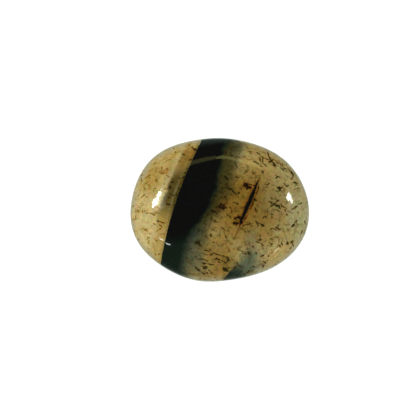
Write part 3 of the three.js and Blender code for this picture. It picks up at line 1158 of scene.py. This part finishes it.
def make_camera(settings):
    """The camera, straight above, framed as the photograph is."""
    data = bpy.data.cameras.new("camera")
    data.sensor_width = SENSOR_WIDTH
    view_width = PHOTO_WIDTH / PIXELS_PER_MM * MM
    data.lens = SENSOR_WIDTH * settings.camera_height / view_width
    data.clip_start = settings.camera_height * CLIP_SHARE
    camera = bpy.data.objects.new("camera", data)
    middle = PHOTO_WIDTH / 2
    camera.location = (
        (middle - STONE_MIDDLE_PIXEL[0]) / PIXELS_PER_MM * MM,
        (STONE_MIDDLE_PIXEL[1] - middle) / PIXELS_PER_MM * MM,
        GIRDLE_HEIGHT * MM + settings.camera_height,
    )
    bpy.context.scene.collection.objects.link(camera)
    bpy.context.scene.camera = camera
    return camera


def mirrored_place(surface, camera, spot):
    """Where a light stands that the camera sees mirrored at a spot of the stone, seen from above."""
    above = Vector((spot[0] * MM, spot[1] * MM, camera.location.z))
    hit, normal, _, _ = surface.ray_cast(above, Vector((0, 0, -1)))
    arriving = (hit - camera.location).normalized()
    return hit + arriving.reflect(normal) * LIGHT_DISTANCE, hit


def make_window(surface, camera, glint):
    """A flat light whose mirror image is one highlight on the stone."""
    start, start_hit = mirrored_place(surface, camera, glint.start)
    end, end_hit = mirrored_place(surface, camera, glint.end)
    run = Vector(glint.end) - Vector(glint.start)
    side = Vector((-run.y, run.x)).normalized() * glint.width / 2
    centre = (Vector(glint.start) + Vector(glint.end)) / 2
    left, _ = mirrored_place(surface, camera, centre + side)
    right, _ = mirrored_place(surface, camera, centre - side)

    data = bpy.data.lights.new(glint.name, "AREA")
    data.shape = "RECTANGLE"
    data.size = (end - start).length
    data.size_y = (right - left).length
    data.color = glint.colour
    data.energy = glint.brightness * math.pi * data.size * data.size_y
    light = bpy.data.objects.new(glint.name, data)
    back = ((start + end) / 2 - (start_hit + end_hit) / 2).normalized()
    along = (end - start).normalized()
    across = back.cross(along).normalized()
    along = across.cross(back)
    turn = Matrix((along, across, back)).transposed()
    light.matrix_world = Matrix.Translation((start + end) / 2) @ turn.to_4x4()
    light.visible_camera = False
    light.visible_diffuse = False
    bpy.context.scene.collection.objects.link(light)
    return light


def make_daylight(settings):
    """An even white surround. The polish mirrors a dim one in its place, brighter down by the floor."""
    world = bpy.data.worlds.new("daylight")
    world.use_nodes = True
    tree = world.node_tree
    background = tree.nodes["Background"]
    direction = Field(tree, add_node(tree, "ShaderNodeTexCoord").outputs["Generated"])
    _, _, rise = direction.parts()
    dim = rise.smooth(*MIRRORED_FLOOR) + rise.smooth(*MIRRORED_HORIZON)
    mirrored = Field(tree, add_node(tree, "ShaderNodeLightPath").outputs["Is Glossy Ray"])
    strength = mirrored * dim + mirrored.flipped() * settings.daylight
    colour = mix(tree, mirrored, DAYLIGHT_WHITE, MIRRORED_TINT)
    tree.links.new(strength.socket, background.inputs["Strength"])
    tree.links.new(colour.socket, background.inputs["Color"])
    bpy.context.scene.world = world
    return world


class AGATE_OT_add_pebble(Operator):
    """Add the polished agate pebble in place of its plain solid"""

    bl_idname = "agate.add_pebble"
    bl_label = "Add pebble"

    def execute(self, context):
        make_stone(context.scene.agate_stone)
        return {"FINISHED"}


class AGATE_OT_add_stage(Operator):
    """Add the floor, the camera and the lights, which are placed by the stone's mirror finish"""

    bl_idname = "agate.add_stage"
    bl_label = "Add stage"

    def execute(self, context):
        settings = context.scene.agate_stage
        stone = bpy.data.objects.get("agate_pebble")
        if stone is None:
            raise RuntimeError("add the pebble first, because the lights are placed by its surface")
        make_floor(settings)
        camera = make_camera(settings)
        make_daylight(settings)
        surface = BVHTree.FromObject(stone, context.evaluated_depsgraph_get())
        for glint in GLINTS:
            make_window(surface, camera, glint)
        context.scene.view_settings.view_transform = "Standard"
        return {"FINISHED"}


class AGATE_PT_sidebar(Panel):
    """Lists the pebble's and the stage's settings"""

    bl_idname = "AGATE_PT_sidebar"
    bl_label = "Polished agate"
    bl_space_type = "VIEW_3D"
    bl_region_type = "UI"
    bl_category = "Agate"

    def draw(self, context):
        for settings, operator in (
            (context.scene.agate_stone, AGATE_OT_add_pebble),
            (context.scene.agate_stage, AGATE_OT_add_stage),
        ):
            box = self.layout.box()
            for name in settings.__annotations__:
                box.prop(settings, name)
            box.operator(operator.bl_idname)


CLASSES = (
    AgateStoneSettings,
    AgateStageSettings,
    AGATE_OT_add_pebble,
    AGATE_OT_add_stage,
    AGATE_PT_sidebar,
)


def register():
    for cls in CLASSES:
        bpy.utils.register_class(cls)
    bpy.types.Scene.agate_stone = PointerProperty(type=AgateStoneSettings)
    bpy.types.Scene.agate_stage = PointerProperty(type=AgateStageSettings)


def unregister():
    del bpy.types.Scene.agate_stage
    del bpy.types.Scene.agate_stone
    for cls in reversed(CLASSES):
        bpy.utils.unregister_class(cls)


def main():
    """Makes the pebble and its stage."""
    register()
    bpy.ops.agate.add_pebble()
    bpy.ops.agate.add_stage()


if __name__ == "__main__":
    main()
